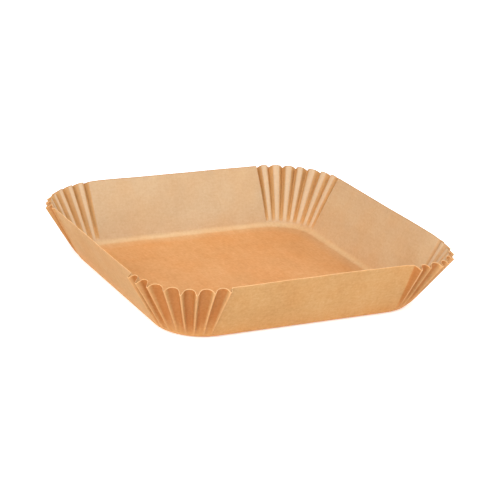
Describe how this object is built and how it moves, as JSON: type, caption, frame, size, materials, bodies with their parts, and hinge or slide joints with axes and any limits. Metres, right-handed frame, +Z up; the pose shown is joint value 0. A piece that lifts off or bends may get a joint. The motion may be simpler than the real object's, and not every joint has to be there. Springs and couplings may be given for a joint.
{
  "type": "air fryer parchment liner",
  "caption": "Square brown baking-paper tray that lines an air fryer basket, with a flat floor, sloping walls and fluted round corners.",
  "frame": {"origin": "centre of the flat underside, on the surface that the tray stands on", "axes": "+Z up, out of the open top. X and Y are square to the four walls, and the wall at the front of the picture faces -Y"},
  "size_m": [0.2068, 0.2068, 0.0371],
  "materials": {
    "baking_paper": "unbleached brown, matt with a faint grease-proof sheen, slightly see-through"
  },
  "bodies": {
    "root": {"liner": "baking_paper"}
  },
  "joints": []
}
